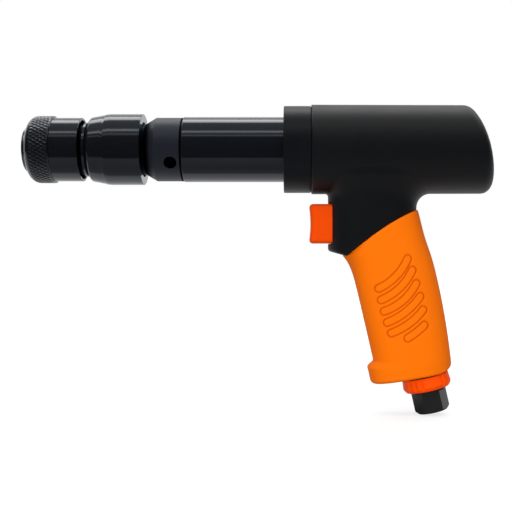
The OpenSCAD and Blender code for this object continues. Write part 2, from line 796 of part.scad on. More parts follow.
module throttle_bushing() {
    gallery_r = 4.6;
    groove_r = throttle_r - 1.5;
    guide_x1 = bushing_x0 + 6.5;
    color("#c2a14f") on_throttle() difference() {
        turned([
            [stem_r + running, bushing_x0], [throttle_r, bushing_x0], [throttle_r, bushing_x0 + 2],
            [groove_r, bushing_x0 + 2], [groove_r, bushing_x0 + 4.4], [throttle_r, bushing_x0 + 4.4],
            [throttle_r, gallery_x - 3], [groove_r, gallery_x - 3], [groove_r, gallery_x + 3],
            [throttle_r, gallery_x + 3], [throttle_r, bushing_x1], [gallery_r, bushing_x1],
            [gallery_r, guide_x1], [stem_r + running, guide_x1]
        ]);
        for (i = [0:3]) translate([gallery_x, 0, 0]) rotate([90 * i, 0, 0])
            cylinder(r = 2, h = throttle_r);
    }
}

module throttle_o_ring() {
    groove_r = throttle_r - 1.5;
    color("#111113") on_throttle() turned(concat(
        [[groove_r + seated, bushing_x0 + 2.2]],
        deg_arc(throttle_r - 1, bushing_x0 + 3.2, 1, -90, 90),
        [[groove_r + seated, bushing_x0 + 4.2]]));
}

module throttle_valve() {
    x0 = bushing_x1 + valve_head_gap;
    head_r = throttle_r - 1.2;
    pilot_r = 2.6;
    pilot_x1 = throttle_x1 - trigger_travel - 1.5;
    color("#8f949a") on_throttle() turned([
        [0, x0], [head_r - 0.8, x0], [head_r, x0 + 0.8], [head_r, valve_head_x1],
        [pilot_r, valve_head_x1], [pilot_r, pilot_x1], [0, pilot_x1]
    ]);
}

module throttle_spring() {
    gap = 0.15;
    color("#b9bcc0") on_throttle() translate([valve_head_x1 + gap, 0, 0])
        coil(4.2, throttle_wire, 5, throttle_spring_len - 2 * gap);
}

module inlet_bushing() {
    corner_r = inlet_af / sqrt(3);
    groove_r = bushing_thread_r - 1.3;
    top_z = felt_h + bushing_thread_len - 0.3;
    color("#2a2a2c") on_inlet() difference() {
        union() {
            intersection() {
                translate([0, 0, hex_z1]) cylinder(r = corner_r, h = inlet_hex_len + eps, $fn = 6);
                translate([0, 0, hex_z1]) rotate_extrude() polygon([
                    [0, 0], [inlet_af / 2 - 0.4, 0], [corner_r, 1.8], [corner_r, inlet_hex_len + 1],
                    [0, inlet_hex_len + 1]
                ]);
            }
            rotate_extrude() polygon([
                [0, flange_z - flange_len], [bushing_flange_r, flange_z - flange_len],
                [bushing_flange_r, flange_z], [bushing_neck_r, flange_z], [bushing_neck_r, felt_h],
                [bushing_thread_r, felt_h], [bushing_thread_r, top_z - 5], [groove_r, top_z - 5],
                [groove_r, top_z - 3.2], [bushing_thread_r, top_z - 3.2],
                [bushing_thread_r, top_z], [0, top_z]
            ]);
        }
        translate([0, 0, hex_z1 - 1]) cylinder(d = inlet_thread_d, h = inlet_thread_len + 1);
        translate([0, 0, hex_z1]) cylinder(r = 4.2, h = 60);
        translate([0, 0, top_z - 2.2]) cylinder(r = screen_r, h = 4);
    }
}

module inlet_o_ring() {
    top_z = felt_h + bushing_thread_len - 0.3;
    color("#111113") on_inlet() rotate_extrude() translate([bushing_thread_r - 0.65, top_z - 4.1])
        circle(r = 0.62, $fn = 32);
}

module inlet_screen() {
    top_z = felt_h + bushing_thread_len - 0.3;
    pitch = 2.2;
    color("#b9bcc0") on_inlet() difference() {
        translate([0, 0, top_z - 2.2]) cylinder(r = screen_r - seated, h = 1.2);
        for (i = [-2:2], j = [-2:2]) if (norm([i, j]) < 2.3)
            translate([i * pitch, j * pitch, top_z - 3]) cylinder(r = 0.75, h = 3, $fn = 24);
    }
}

module muffler_felt() {
    color("#6d6d69") ring_on_inlet(bushing_neck_r + seated, felt_r, 0.1, felt_h);
}

module exhaust_deflector() {
    inner_r = deflector_r - 2.4;
    bore_r0 = bushing_neck_r + 0.1;
    vents = 12;
    color("#f34b0c") on_inlet() difference() {
        rotate_extrude() polygon([
            [inner_r, deflector_z0], [deflector_r - 1.1, deflector_z0],
            [deflector_r - 0.6, deflector_z0 - 0.5], [deflector_r, deflector_z1 + 2.4],
            [deflector_r - 1.6, deflector_z1], [bore_r0, deflector_z1],
            [bore_r0, deflector_z1 + web_h], [inner_r, deflector_z1 + web_h]
        ]);
        for (group = [0:3], k = [-1.5:1:1.5]) rotate([0, 0, -90 - 26 + 90 * group + 14 * k])
            translate([deflector_r + 0.35, 0, deflector_z1 - 1])
            cylinder(r = 1, h = deflector_h + 2, $fn = 24);
        for (i = [0:vents - 1]) rotate([0, 0, 360 * (i + 0.5) / vents])
            translate([(inner_r + bushing_flange_r) / 2, 0, deflector_z1 - 1])
            cylinder(r = 0.7, h = web_h + 2, $fn = 24);
    }
}

chuck_body();
nose_snap_ring();
release_sleeve();
sleeve_spring();
lock_ball(0);  // lock_ball_1
lock_ball(1);  // lock_ball_2
lock_ball(2);  // lock_ball_3
lock_ball(3);  // lock_ball_4
chuck_o_ring();
rear_collar();
cylinder_barrel();
piston();
jacket_seal();
exhaust_jacket();
front_cap();
cap_seal();
valve_seat();
valve_disc();
valve_cap();
valve_dowels();
valve_cushion();
housing();
grip_sleeve();
trigger();
trigger_stem();
throttle_bushing();
throttle_o_ring();
throttle_valve();
throttle_spring();
inlet_bushing();
inlet_o_ring();
inlet_screen();
muffler_felt();
exhaust_deflector();
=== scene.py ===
"""Looks of a pneumatic air hammer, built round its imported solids.

Shapes are worked out in millimetres, with the barrel along X, and turned into metres by add_piece.
"""

import json
import math

import bpy
import numpy as np
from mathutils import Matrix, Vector


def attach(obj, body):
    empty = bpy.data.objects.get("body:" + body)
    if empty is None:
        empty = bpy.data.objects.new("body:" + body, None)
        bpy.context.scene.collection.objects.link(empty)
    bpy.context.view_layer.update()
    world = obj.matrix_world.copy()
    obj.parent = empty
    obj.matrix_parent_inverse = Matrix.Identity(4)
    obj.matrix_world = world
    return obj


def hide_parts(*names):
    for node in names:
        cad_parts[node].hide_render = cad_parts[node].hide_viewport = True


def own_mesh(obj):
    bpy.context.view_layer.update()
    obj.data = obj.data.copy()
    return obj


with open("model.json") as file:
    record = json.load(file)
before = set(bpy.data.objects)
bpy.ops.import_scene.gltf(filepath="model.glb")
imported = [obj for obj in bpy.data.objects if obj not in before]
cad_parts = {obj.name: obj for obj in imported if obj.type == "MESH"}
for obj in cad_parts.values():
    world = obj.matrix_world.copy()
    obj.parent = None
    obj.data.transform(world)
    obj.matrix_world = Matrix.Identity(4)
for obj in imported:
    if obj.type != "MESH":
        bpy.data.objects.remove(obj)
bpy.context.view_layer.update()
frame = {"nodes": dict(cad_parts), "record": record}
nodes = frame["nodes"]
MM = 0.001

# Chuck
SLEEVE_X0 = 2.3
FRONT_LAND_X = 7.0
GUIDE_R = 13.95
RELIEF_R = 17.85
RAMP_X0 = 11.02
RAMP_X1 = 19.585
REAR_LAND_X = 22.585
SKIRT_R = 18.4
SLEEVE_R = 19.9
BAND_R = 21.05
BAND_X1 = 18.3
SLEEVE_X1 = 35.685
SHOULDER_R = 14.6
SHOULDER_LEN = 6.9
KNURL_STARTS = 53
KNURL_SLANT = math.radians(30)
KNURL_WIDTH = 0.72
KNURL_STEPS = 12
KNURL_DEPTH = 0.4
KNURL_CROSS = 0.6
KNURL_START = 7.0
COLLAR_X0 = 41.185
COLLAR_X1 = 73.985
COLLAR_BORE_R = 17.12
COLLAR_R = 22.22
SLEEVE_COIL_R = 14.95
SLEEVE_WIRE = 1.5
SLEEVE_COIL_LEN = 10.1

# Barrel
TURNED_DOWN_X = 32.0
NECK_R = 16.1
BOSS_FACE_X = 83.0
BOSS_X1 = 98.685
SPANNER_HOLE_R = 19.5
JACKET_X0 = 99.285
JACKET_X1 = 171.885
JACKET_R0 = 18.2
JACKET_R1 = 20.4
CAP_X0 = 161.885
CAP_X1 = 178.685
CAP_R = 27.22
CAP_BORE_R = 20.42
CAP_SPIGOT_R = 23.12
CAP_SPIGOT_X1 = 188.085
CAP_INNER_R = 18.41

# Housing
BODY_X0 = 179.085
BODY_LEN = 112.8
BODY_X1 = BODY_X0 + BODY_LEN
BODY_R = 28.0
BODY_DRAFT = 0.3
DOME_R = 86.0
DOME_Z = -20.0
DOME_FILLET = 6.2
FRONT_EASE = 0.4
CHAMBER_R = 21.12
CHAMBER_X1 = 196.085
TUBE_SEAT_R = 15.65
CHEST_X1 = 234.085
FEED_POCKET_R = 11.0
FEED_POCKET_X1 = 238.085
HANDLE_X0 = 189.585
HANDLE_X1 = 245.185
HANDLE_HALF = 18.8
HANDLE_POWER = 2.3
HANDLE_SWELL = 0.004
HANDLE_SWELL_Z = -10.0
CHIN_Z = 63.7
CHIN_LEN = 10.9
CHIN_DROP = 3.0
CHIN_EASE = 0.9
SPLIT_EASE = 0.5
SPLIT_X0 = HANDLE_X0 + CHIN_LEN
SPLIT_Z0 = -CHIN_Z - CHIN_DROP
SPLIT_RISE = CHIN_Z + CHIN_DROP - 38
SPLIT_CROWN = 10.9
NECK_Z = -37.0
REAR_FILLET = 9.0
FRONT_FILLET = 1.8
FILLET_RUN = 12.0
FILLET_FADE = 9.0

# Grip
LEAN = math.radians(13)
GRIP_Z0 = SPLIT_Z0 - 0.3
GRIP_X0 = SPLIT_X0 + 2.5
GRIP_HALF = 18.2
GRIP_POWER = 2.4
GRIP_WALL = 2.8
GRIP_FLARE = 4.0
GRIP_FLARE_LEN = 5.4
WAIST_Z = -95.0
WAIST_SPAN = 50.0
WAIST_SWELL = 0.8
REAR_TOP_Z = -38.9
REAR_LEN = 100.0
REAR_STEP = 1.2
REAR_RUN = 33.0
REAR_BOW = 12.0
REAR_DIP = 0.15
REAR_DIP_LEN = 0.12
FOOT_Z = 146.8
FOOT_SLOPE = 0.165
HEEL_SET = 12.9
HEEL_LEN = 8.9
HEEL_H = 4.5
TOE = 4.7
TOE_START = 14.8
TOE_BLEND = 5.0
CORE_LIFT = 1.4
CORE_Z0 = -41.0
SEAM = 0.1

# Trigger and throttle
TRIGGER_X0 = 177.485
TRIGGER_X1 = 195.385
TRIGGER_W = 17.0
TRIGGER_H = 24.6
TRIGGER_HOLLOW = 1.1
BUTTON_LOW_Z = -60.0
POCKET_X1 = 202.185
THROTTLE_Z = -46.8
THROTTLE_R = 7.54
THROTTLE_X1 = 239.385
STEM_R = 2.52
STEM_ROOT = 9.0
AIR_GAP = 0.3
THROTTLE_COIL_R = 4.2
THROTTLE_WIRE = 0.9
THROTTLE_COIL_X0 = 226.535
THROTTLE_COIL_LEN = 12.7

# Air inlet, on an axis of its own that leans with the grip
INLET_X = 250.485
INLET_Z = -141.627
FELT_R = 12.7
FELT_H = 4.2
FELT_ROOM = 25.0
THREAD_R = 8.52
THREAD_TOP = 18.0
AIR_BORE_R = 5.0
AIR_BORE_TOP = 92.0
DEFLECTOR_R = 15.2
DEFLECTOR_Z0 = -0.4
DEFLECTOR_Z1 = -9.0
DEFLECTOR_BORE_R = 9.85
DEFLECTOR_INNER_R = 12.8
DEFLECTOR_TAPER = 0.6 / 5.8
BEVEL_H = 2.4
BEVEL_W = 1.6
GROOVE_R = 1.0
GROOVE_TURN = -125.0
GROOVE_STEP = 17.4
VENTS = 12
VENT_R = 0.7
WEB_H = 2.5
FLANGE_R = 11.2


# Distances: negative inside, in millimetres

def common(a, b, ease):
    """What two solids share, with the edge between them rounded."""
    a, b = a + ease, b + ease
    return np.minimum(np.maximum(a, b), 0) + np.hypot(np.maximum(a, 0), np.maximum(b, 0)) - ease


def joined(a, b, fillet):
    """Two solids as one, with a fillet of that radius where they meet."""
    corner = np.hypot(np.maximum(fillet - a, 0), np.maximum(fillet - b, 0))
    return np.maximum(np.minimum(a, b), fillet) - corner


def without(a, b, ease):
    """The first solid with the second cut out of it."""
    return common(a, -b, ease)


def blend(t):
    """0 up to 0, 1 from 1 and smooth between them."""
    u = np.clip(t, 0, 1)
    return u * u * (3 - 2 * u)


def oval(x, y, front, rear, half, power):
    """A level section between flat and round, from front to rear and half wide each way."""
    deep = (rear - front) / 2
    u = np.abs(x - (front + rear) / 2) / deep
    v = np.abs(y) / half
    reach = np.maximum((u ** power + v ** power) ** (1 / power), 1e-3)
    slope = reach ** (1 - power) * np.hypot(u ** (power - 1) / deep, v ** (power - 1) / half)
    return (reach - 1) / np.maximum(slope, 0.5 / np.maximum(deep, half))


def split_height(x):
    u = (x - SPLIT_X0) / (HANDLE_X1 - SPLIT_X0)
    chin = SPLIT_Z0 + CHIN_DROP * (SPLIT_X0 - x) / CHIN_LEN
    crown = SPLIT_Z0 + (SPLIT_RISE + SPLIT_CROWN) * u - SPLIT_CROWN * u * u
    return np.minimum(np.where(x < SPLIT_X0, chin, crown), NECK_Z)


def foot_height(x):
    toe_x = GRIP_X0 + math.tan(LEAN) * (FOOT_Z + GRIP_Z0) - TOE
    heel = np.clip((x - HANDLE_X1 - HEEL_SET) / HEEL_LEN, 0, 0.98)
    return -FOOT_Z + FOOT_SLOPE * (x - toe_x) + HEEL_H * (1 - np.sqrt(1 - heel * heel))


def plain_front(z):
    return GRIP_X0 + math.tan(LEAN) * (GRIP_Z0 - z)


def grip_front(z):
    drop = GRIP_Z0 - z
    flare = GRIP_FLARE * np.exp(-np.maximum(drop, 0) / GRIP_FLARE_LEN)
    return plain_front(z) - flare - TOE * blend((drop - (FOOT_Z + GRIP_Z0 - TOE_START)) / TOE_BLEND)


def grip_rear(z):
    s = (REAR_TOP_Z - z) / REAR_LEN
    dip = (s - REAR_DIP) / REAR_DIP_LEN
    return HANDLE_X1 + REAR_STEP + REAR_RUN * s - REAR_BOW * s * s - np.exp(-dip * dip)


def grip_half(z):
    return GRIP_HALF + WAIST_SWELL * ((z - WAIST_Z) / WAIST_SPAN) ** 2


def inlet_frame(x, y, z):
    """Across, side and up, measured on the inlet's own axis."""
    dx, dz = x - INLET_X, z - INLET_Z
    across = dx * math.cos(LEAN) + dz * math.sin(LEAN)
    up = -dx * math.sin(LEAN) + dz * math.cos(LEAN)
    return across, y, up


def domed_body(x, y, z):
    """The barrel-shaped body: drafted side, bulged rear end and a rolled edge between them."""
    r = np.hypot(y, z)
    side_dir, up_dir = y / np.maximum(r, 1e-6), z / np.maximum(r, 1e-6)
    side = r - (BODY_R - BODY_DRAFT * (x - BODY_X0) / BODY_LEN)
    xc = BODY_X1 - DOME_R
    dome = np.sqrt((x - xc) ** 2 + (z - DOME_Z) ** 2 + y * y / 2) - DOME_R
    edge_r = BODY_R - BODY_DRAFT - DOME_FILLET
    rise = edge_r * up_dir - DOME_Z
    edge_x = xc + np.sqrt((DOME_R - DOME_FILLET) ** 2 - rise ** 2 - (edge_r * side_dir) ** 2 / 2)
    out = rise * up_dir + edge_r * side_dir ** 2 / 2
    back = edge_x - xc
    size = np.hypot(out, back)
    vr, vx = r - edge_r, x - edge_x
    rolled = np.hypot(vr, vx) - DOME_FILLET
    over_dome = vr * back - vx * out < 0
    shape = np.where(vx < 0, side, np.where(over_dome & (size > 0), dome, rolled))
    shape = np.where((vx < 0) & over_dome, np.maximum(side, dome), shape)
    return common(shape, BODY_X0 - x, FRONT_EASE)


def handle_neck(x, y, z):
    half = HANDLE_HALF + HANDLE_SWELL * np.maximum(0, z + BODY_R - HANDLE_SWELL_Z) ** 2
    section = oval(x, y, HANDLE_X0, HANDLE_X1, half, HANDLE_POWER)
    low = split_height(x)
    chin_ease = SPLIT_EASE + CHIN_EASE * blend((SPLIT_X0 - 2 - x) / 6)
    return np.maximum(common(section, (low - z) * 0.86, chin_ease), z + 4)


def handle_core(x, y, z):
    wall = GRIP_WALL + SEAM
    section = oval(x, y, plain_front(z) + wall, grip_rear(z) - wall, grip_half(z) - wall, GRIP_POWER)
    foot = (INLET_Z + CORE_LIFT + FOOT_SLOPE * (x - INLET_X) - z) / math.hypot(1, FOOT_SLOPE)
    return np.maximum(np.maximum(section, foot), z - CORE_Z0)


def bored(r, radius, start, end):
    return np.maximum(r - radius, np.maximum(start, end))


def box_shape(x, y, z, low, high, ease):
    q = [np.abs(v - (a + b) / 2) - (b - a) / 2 + ease for v, a, b in zip((x, y, z), low, high)]
    outside = np.sqrt(sum(np.maximum(v, 0) ** 2 for v in q))
    return outside + np.minimum(np.maximum(np.maximum(q[0], q[1]), q[2]), 0) - ease


def housing_shape(x, y, z):
    fillet = FRONT_FILLET + (REAR_FILLET - FRONT_FILLET) * blend((x - HANDLE_X0 + 1) / FILLET_RUN)
    fillet = np.maximum(fillet * blend((-z - FILLET_FADE) / FILLET_FADE), 0.05)
    shape = joined(domed_body(x, y, z), handle_neck(x, y, z), fillet)
    shape = np.maximum(shape, BODY_X0 - x)
    shape = np.minimum(shape, handle_core(x, y, z))
    r = np.hypot(y, z)
    for radius, end in ((CAP_SPIGOT_R + 0.02, CAP_SPIGOT_X1 + 0.3), (CHAMBER_R, CHAMBER_X1),
                        (TUBE_SEAT_R, CHEST_X1), (FEED_POCKET_R, FEED_POCKET_X1)):
        shape = np.maximum(shape, -bored(r, radius, x - end, BODY_X0 - 5 - x))
    half_w, half_h = TRIGGER_W / 2 + AIR_GAP, TRIGGER_H / 2 + AIR_GAP
    pocket = box_shape(x, y, z, (HANDLE_X0 - 12, -half_w, THROTTLE_Z - half_h),
                       (POCKET_X1, half_w, THROTTLE_Z + half_h), 2.0)
    shape = without(shape, pocket, 0.6)
    throttle = np.hypot(y, z - THROTTLE_Z)
    shape = np.maximum(shape, -bored(throttle, THROTTLE_R, x - THROTTLE_X1, HANDLE_X0 - x))
    across, side, up = inlet_frame(x, y, z)
    r = np.hypot(across, side)
    for radius, low, high in ((FELT_R, -FELT_ROOM, FELT_H), (THREAD_R, 0, THREAD_TOP),
                              (AIR_BORE_R, 0, AIR_BORE_TOP)):
        shape = np.maximum(shape, -bored(r, radius, up - high, low - up))
    return shape


def trigger_shape(x, y, z):
    dz = z - THROTTLE_Z
    hollow_r = ((TRIGGER_H / 2) ** 2 + TRIGGER_HOLLOW ** 2) / (2 * TRIGGER_HOLLOW)
    front = hollow_r - np.hypot(x - (TRIGGER_X0 + TRIGGER_HOLLOW - hollow_r), dz)
    shape = common(front, np.abs(y) - TRIGGER_W / 2, 3.6)
    shape = common(shape, np.abs(dz) - TRIGGER_H / 2, 2.6)
    shape = common(shape, x - TRIGGER_X1, 0.4)
    stem = bored(np.hypot(y, dz), STEM_R, TRIGGER_X1 - STEM_ROOT - x, x - TRIGGER_X1 - 5)
    return np.maximum(shape, -stem)


def deflector_shape(x, y, z):
    across, side, up = inlet_frame(x, y, z)
    r = np.hypot(across, side)
    over_bevel = up - DEFLECTOR_Z1 - BEVEL_H
    flank = (r - DEFLECTOR_R + over_bevel * DEFLECTOR_TAPER) * 0.995
    shape = common(flank, up - DEFLECTOR_Z0, 0.35)
    bevel = ((r - DEFLECTOR_R) * BEVEL_H - over_bevel * BEVEL_W) / math.hypot(BEVEL_H, BEVEL_W)
    shape = common(shape, bevel, 0.5)
    shape = common(shape, DEFLECTOR_Z1 - up, 0.5)
    for group in range(4):
        for k in (-1, 0, 1):
            a = math.radians(GROOVE_TURN + 90 * group + GROOVE_STEP * k)
            groove = np.hypot(across - DEFLECTOR_R * math.cos(a), side - DEFLECTOR_R * math.sin(a))
            shape = without(shape, groove - GROOVE_R, 0.3)
    shape = without(shape, bored(r, DEFLECTOR_INNER_R, DEFLECTOR_Z1 + WEB_H - up, up - 5), 0.25)
    shape = without(shape, bored(r, DEFLECTOR_BORE_R, DEFLECTOR_Z1 - 5 - up, up - 5), 0.25)
    ring = (DEFLECTOR_INNER_R + FLANGE_R) / 2
    for i in range(VENTS):
        a = 2 * math.pi * (i + 0.5) / VENTS
        vent = np.hypot(across - ring * math.cos(a), side - ring * math.sin(a)) - VENT_R
        shape = without(shape, vent, 0.15)
    return shape


# Meshes

def carve(shape, low, high, step):
    """Points and quads of the surface where shape is zero, found on a grid and drawn onto the surface."""
    axes = [np.arange(a, b + step, step) for a, b in zip(low, high)]
    field = shape(*np.meshgrid(*axes, indexing="ij", sparse=True))
    field = np.broadcast_to(field, [len(a) for a in axes])
    cells = [len(a) - 1 for a in axes]
    hits = np.zeros(cells)
    place = np.zeros(cells + [3])
    crossings = []
    for axis in range(3):
        a = np.take(field, range(cells[axis]), axis)
        b = np.take(field, range(1, cells[axis] + 1), axis)
        cross = (a < 0) != (b < 0)
        share = np.where(cross, a / np.where(cross, a - b, 1), 0)
        crossings.append((cross, a < 0))
        others = [(axis + 1) % 3, (axis + 2) % 3]
        for p in (0, 1):
            for q in (0, 1):
                cut = [slice(None)] * 3
                cut[others[0]] = slice(p, p + cells[others[0]])
                cut[others[1]] = slice(q, q + cells[others[1]])
                met = cross[tuple(cut)]
                hits += met
                place[..., axis] += share[tuple(cut)]
                place[..., others[0]] += met * p
                place[..., others[1]] += met * q
    live = hits > 0
    index = np.full(cells, -1)
    index[live] = np.arange(live.sum())
    corner = np.argwhere(live)
    points = (corner + place[live] / hits[live][:, None]) * step + np.array([a[0] for a in axes])
    quads = []
    for axis, (cross, starts_in) in enumerate(crossings):
        one, two = (axis + 1) % 3, (axis + 2) % 3
        at = np.argwhere(cross)
        keep = (at[:, one] > 0) & (at[:, one] < cells[one]) & (at[:, two] > 0) & (at[:, two] < cells[two])
        at = at[keep]
        ring = []
        for p, q in ((1, 1), (0, 1), (0, 0), (1, 0)):
            cell = at.copy()
            cell[:, one] -= p
            cell[:, two] -= q
            ring.append(index[tuple(cell.T)])
        face = np.stack(ring, 1)
        flip = ~starts_in[tuple(at.T)]
        face[flip] = face[flip][:, ::-1]
        quads.append(face)
    for _ in range(4):
        value = shape(*points.T)
        slope = np.stack([(shape(*(points + e).T) - shape(*(points - e).T)) / 0.04
                          for e in np.eye(3) * 0.02], 1)
        move = (value / np.maximum((slope ** 2).sum(1), 0.2))[:, None] * slope
        points = points - np.clip(move, -step / 2, step / 2)
    return points, np.concatenate(quads)


def eased(outline, steps=5, guard=0.04):
    """Closed outline of [radius, station, ease] corners, each rounded, with a guard point on each side."""
    flat = []
    n = len(outline)
    for k in range(n):
        before, corner, after = (np.array(outline[j % n][:2], float) for j in (k - 1, k, k + 1))
        ease = outline[k][2] if len(outline[k]) > 2 else 0
        a, b = before - corner, after - corner
        la, lb = np.linalg.norm(a), np.linalg.norm(b)
        a, b = a / la, b / lb
        half = math.acos(np.clip(a @ b, -1, 1)) / 2
        if ease <= 0 or half > 1.55:
            flat.append(corner)
            continue
        cut = min(ease / math.tan(half), 0.45 * la, 0.45 * lb)
        radius = cut * math.tan(half)
        middle = corner + (a + b) / np.linalg.norm(a + b) * radius / math.sin(half)
        start, end = corner + a * cut - middle, corner + b * cut - middle
        turn = math.atan2(start[0] * end[1] - start[1] * end[0], start @ end)
        flat.append(corner + a * (cut + guard))
        for i in range(steps + 1):
            c, s = math.cos(turn * i / steps), math.sin(turn * i / steps)
            flat.append(middle + np.array([start[0] * c - start[1] * s, start[0] * s + start[1] * c]))
        flat.append(corner + b * (cut + guard))
    return np.array(flat)


def ring_quads(rows, columns):
    """Quads of a grid that closes on itself both ways."""
    k, i = np.meshgrid(np.arange(rows), np.arange(columns), indexing="ij")
    k2, i2 = (k + 1) % rows, (i + 1) % columns
    corners = [k * columns + i, k * columns + i2, k2 * columns + i2, k2 * columns + i]
    return np.stack(corners, -1).reshape(-1, 4)


def turned(outline, columns=192):
    """Closed outline of [radius, station] turned about the barrel axis."""
    a = 2 * math.pi * np.arange(columns) / columns
    r, x = np.asarray(outline)[:, 0, None], np.asarray(outline)[:, 1, None]
    points = np.stack([x + 0 * a, r * np.sin(a), r * np.cos(a)], -1)
    return points.reshape(-1, 3), ring_quads(len(outline), columns)


def add_piece(name, shape, body, finish, stands_for, marks=None):
    """One piece of the scene, which rides on a body and stands for solids of the frame."""
    points, quads = shape
    mesh = bpy.data.meshes.new(name)
    mesh.from_pydata((np.asarray(points) * MM).tolist(), [], quads.tolist())
    for mark, values in (marks or {}).items():
        mesh.attributes.new(mark, "FLOAT", "POINT").data.foreach_set("value", values.astype(np.float32))
    mesh.polygons.foreach_set("use_smooth", [True] * len(mesh.polygons))
    mesh.validate()
    mesh.update()
    mesh.materials.append(finish)
    piece = bpy.data.objects.new(name, mesh)
    bpy.context.scene.collection.objects.link(piece)
    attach(piece, body)
    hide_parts(*stands_for)
    return piece


# Finishes

class Wire:
    """A node's output that takes part in sums. Each sum adds its own node."""

    def __init__(self, finish, socket):
        self.finish = finish
        self.socket = socket

    def _sum(self, operation, first, second):
        return self.finish.node("ShaderNodeMath", {"operation": operation}, {0: first, 1: second})

    def __add__(self, other):
        return self._sum("ADD", self, other)

    def __radd__(self, other):
        return self._sum("ADD", other, self)

    def __sub__(self, other):
        return self._sum("SUBTRACT", self, other)

    def __rsub__(self, other):
        return self._sum("SUBTRACT", other, self)

    def __mul__(self, other):
        return self._sum("MULTIPLY", self, other)

    def __rmul__(self, other):
        return self._sum("MULTIPLY", other, self)

    def __pow__(self, other):
        return self._sum("POWER", self, other)

    def most(self, other):
        return self._sum("MAXIMUM", self, other)


class Finish:
    """A material's nodes, or the world's."""

    def __init__(self, owner, shader=None, fixed=None):
        owner.use_nodes = True
        self.tree = owner.node_tree
        self.shader = self.tree.nodes.get(shader) if shader else None
        for name, value in (fixed or {}).items():
            self.shader.inputs[name].default_value = value

    def node(self, kind, settings=None, inputs=None, out=0):
        made = self.tree.nodes.new(kind)
        for name, value in (settings or {}).items():
            setattr(made, name, value)
        for name, value in (inputs or {}).items():
            self.feed(made.inputs[name], value)
        return Wire(self, made.outputs[out])

    def feed(self, socket, value):
        if isinstance(value, Wire):
            self.tree.links.new(value.socket, socket)
        else:
            socket.default_value = value

    def set(self, name, value):
        self.feed(self.shader.inputs[name], value)

    def place(self):
        return self.node("ShaderNodeTexCoord", out="Object")

    def parts(self, vector):
        return [self.node("ShaderNodeSeparateXYZ", None, {0: vector}, axis) for axis in "XYZ"]

    def noise(self, scale, detail=3, rough=0.5, where=None):
        inputs = {"Scale": scale, "Detail": detail, "Roughness": rough, "Vector": where or self.place()}
        return self.node("ShaderNodeTexNoise", {"noise_dimensions": "3D"}, inputs)

    def lathe_lines(self, per_metre):
        """Fine rings round the barrel axis, as a tool leaves them."""
        along = self.node("ShaderNodeSeparateXYZ", None, {0: self.place()}, "X")
        return self.node("ShaderNodeTexNoise", {"noise_dimensions": "1D"},
                         {"W": along * per_metre, "Scale": 1.0, "Detail": 3, "Roughness": 0.6})

    def mix(self, share, first, second):
        return self.node("ShaderNodeMix", {"data_type": "RGBA"}, {0: share, 6: first, 7: second}, 2)

    def ramp(self, value, low, high):
        """0 below low, 1 above high and smooth between them."""
        return self.node("ShaderNodeMapRange", {"interpolation_type": "SMOOTHSTEP"},
                         {"Value": value, "From Min": low, "From Max": high})

    def rays(self):
        """1 on what the camera sees itself, and 1 on what it sees in gloss or through glass."""
        path = "ShaderNodeLightPath"
        seen = self.node(path, out="Is Camera Ray")
        mirrored = self.node(path, out="Is Glossy Ray").most(self.node(path, out="Is Transmission Ray"))
        return seen, mirrored * (1 - seen)

    def bump(self, height, strength, distance):
        self.set("Normal", self.node("ShaderNodeBump", None,
                                     {"Strength": strength, "Distance": distance, "Height": height}))


def colour(r, g, b):
    return (r, g, b, 1.0)


def new_finish(name, fixed):
    material = bpy.data.materials.new(name)
    return material, Finish(material, "Principled BSDF", fixed)


BLUED = colour(0.8, 0.89, 1.0)


def soft_touch(name, dark, light, rough, grain, depth, shine):
    """Matte moulded or coated skin with a fine even grain and faint handling marks."""
    material, f = new_finish(name, {"IOR": 1.46, "Specular IOR Level": shine})
    fine = f.noise(grain, 2, 0.6)
    broad = f.noise(45, 3)
    f.set("Base Color", f.mix(broad * 0.6 + fine * 0.4, colour(*dark), colour(*light)))
    f.set("Roughness", rough - 0.06 + broad * 0.08 + fine * 0.06)
    f.bump(fine * 0.75 + f.noise(grain * 0.31, 2) * 0.25, 0.5, depth)
    return material


def gloss_black(name, base, rough, lines):
    """Blackened and polished steel with faint turning rings, and painted shade where it is turned down: a
    dull black metal there that mirrors next to nothing.
    """
    material, f = new_finish(name, {"IOR": 1.5, "Coat Roughness": 0.04, "Specular Tint": BLUED})
    ring = f.lathe_lines(lines)
    smudge = f.noise(90, 4, 0.6)
    x, y, z = f.parts(f.place())
    turned_down = f.ramp((y * y + z * z) ** 0.5, (NECK_R + 0.5) * MM, (NECK_R + 0.2) * MM)
    # Painted shade on the turned-down neck: rougher, uncoated and metallic with the black base, so it
    # mirrors next to nothing.
    neck_shade = turned_down * f.ramp(x, TURNED_DOWN_X * MM, (TURNED_DOWN_X + 1) * MM)
    f.set("Base Color", f.mix(smudge, colour(*base), colour(*[v * 1.5 for v in base])))
    f.set("Roughness", rough + smudge * 0.05 + ring * 0.05 + neck_shade * 0.3)
    f.set("Metallic", neck_shade)
    f.set("Coat Weight", (0.12 - smudge * 0.06) * (1 - neck_shade))
    f.bump(ring, 0.12, 0.00002)
    return material


